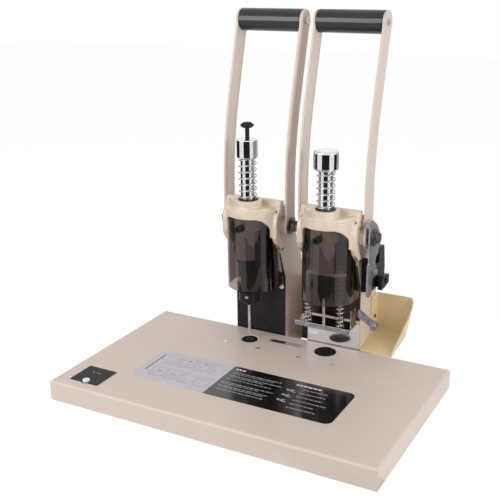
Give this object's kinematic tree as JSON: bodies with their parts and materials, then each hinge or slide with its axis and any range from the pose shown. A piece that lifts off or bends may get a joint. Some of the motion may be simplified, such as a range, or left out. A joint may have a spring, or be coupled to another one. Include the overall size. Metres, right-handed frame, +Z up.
{
  "type": "document riveting machine",
  "caption": "Desk machine with twin lever heads, a hollow drill and a tube-rivet press with sprung presser, on a flat folded base, with a tube cutter and a waste tray.",
  "frame": {"origin": "on the surface the feet stand on, at the centre of the whole footprint", "axes": "+Z up; X across the machine, +X towards the tube cutter and the tray; +Y from the operator to the back"},
  "size_m": [0.42, 0.309, 0.449],
  "materials": {
    "cream_paint": "pale warm paint, satin, fine texture",
    "casting_paint": "cream paint, satin",
    "steel": "bare machined steel",
    "dark_steel": "blackened steel",
    "bright_steel": "bright plated steel",
    "chrome": "mirror chrome",
    "black_metal": "black oxide, satin",
    "black_plastic": "black plastic",
    "grip_rubber": "black satin grip",
    "white_plastic": "white, gloss",
    "foot_rubber": "black rubber",
    "smoked": "smoked clear acrylic",
    "label_light": "pale grey film with faint line boxes",
    "label_dark": "black film with pale plain lines",
    "arrow_film": "half black, half silver film",
    "beige_plastic": "beige plastic",
    "board": "circuit board and parts"
  },
  "bodies": {
    "frame": {"base_pan": "cream_paint", "base_bottom_plate": "steel", "rubber_feet": "foot_rubber", "base_screws": "steel", "bracket_screws": "steel", "die_brackets": "dark_steel", "instruction_label_light": "label_light", "instruction_label_dark": "label_dark", "arrow_label": "arrow_film", "control_plate": "black_plastic", "drill_pad": "black_plastic", "drill_pad_sleeve": "bright_steel", "rivet_anvil": "black_metal", "power_inlet": "black_plastic", "power_supply": "board", "left_column": "cream_paint", "right_column": "cream_paint", "left_front_panel": "black_metal", "right_front_plate": "chrome", "panel_screws": "steel", "column_bolts": "dark_steel", "side_screws": "dark_steel", "lever_bushes": "casting_paint", "drill_casting": "casting_paint", "rivet_casting": "casting_paint", "drill_guide_sleeve": "bright_steel", "rivet_guide_sleeve": "bright_steel", "quill_bushings": "black_metal", "drill_guard": "smoked", "rivet_guard": "smoked", "guard_screws": "black_metal", "drill_return_spring": "bright_steel", "rivet_return_spring": "bright_steel", "cutter_body": "black_metal", "waste_tray": "beige_plastic"},
    "drill_lever": {"drill_lever_arms": "cream_paint", "drill_grip": "grip_rubber", "drill_grip_rod": "steel", "drill_lever_shaft": "steel", "drill_pivot_bolts": "dark_steel"},
    "drill_feed": {"drill_quill": "chrome", "drill_cap": "chrome", "spindle_motor": "black_metal"},
    "drill_spindle": {"drill_chuck": "black_metal", "chuck_screw": "bright_steel", "drill_bit": "steel"},
    "ejector_rod": {"ejector": "black_plastic"},
    "rivet_lever": {"rivet_lever_arms": "cream_paint", "rivet_grip": "grip_rubber", "rivet_grip_rod": "steel", "rivet_lever_shaft": "steel", "rivet_pivot_bolts": "dark_steel", "cutter_plate": "chrome"},
    "rivet_feed": {"rivet_quill": "chrome", "rivet_cap": "chrome", "rivet_die": "black_metal", "rivet_pin": "steel", "presser_springs": "bright_steel"},
    "presser": {"presser_frame": "steel"},
    "button": {"start_button": "white_plastic"}
  },
  "joints": [
    {"name": "drill_lever_swing", "type": "hinge", "parent": "frame", "child": "drill_lever", "pos_m": [-0.0535, 0.0935, 0.182], "axis": [1, 0, 0], "range_deg": [0, 70]},
    {"name": "drill_feed_slide", "type": "slide", "parent": "frame", "child": "drill_feed", "axis": [0, 0, -1], "range_m": [0, 0.0276], "stiffness_N_per_m": 870, "springref_m": -0.025, "deforming": ["drill_return_spring"]},
    {"name": "spindle_turn", "type": "hinge", "parent": "drill_feed", "child": "drill_spindle", "pos_m": [-0.0535, 0.0635, 0.09], "axis": [0, 0, 1], "continuous": true},
    {"name": "ejector_push", "type": "slide", "parent": "drill_feed", "child": "ejector_rod", "axis": [0, 0, -1], "range_m": [0, 0.0135]},
    {"name": "rivet_lever_swing", "type": "hinge", "parent": "frame", "child": "rivet_lever", "pos_m": [0.0535, 0.0935, 0.182], "axis": [1, 0, 0], "range_deg": [0, 84]},
    {"name": "rivet_feed_slide", "type": "slide", "parent": "frame", "child": "rivet_feed", "axis": [0, 0, -1], "range_m": [0, 0.0332], "stiffness_N_per_m": 870, "springref_m": -0.025, "deforming": ["rivet_return_spring"]},
    {"name": "presser_lift", "type": "slide", "parent": "rivet_feed", "child": "presser", "axis": [0, 0, 1], "range_m": [0, 0.028], "stiffness_N_per_m": 1000, "springref_m": -0.02, "deforming": ["presser_springs"]},
    {"name": "button_press", "type": "slide", "parent": "frame", "child": "button", "axis": [0, 0, -1], "range_m": [0, 0.0012], "stiffness_N_per_m": 500, "springref_m": -0.001}
  ],
  "couplings": [
    {"joint": "drill_feed_slide", "follows": "drill_lever_swing", "m_per_rad": 0.0225},
    {"joint": "rivet_feed_slide", "follows": "rivet_lever_swing", "m_per_rad": 0.0225}
  ]
}
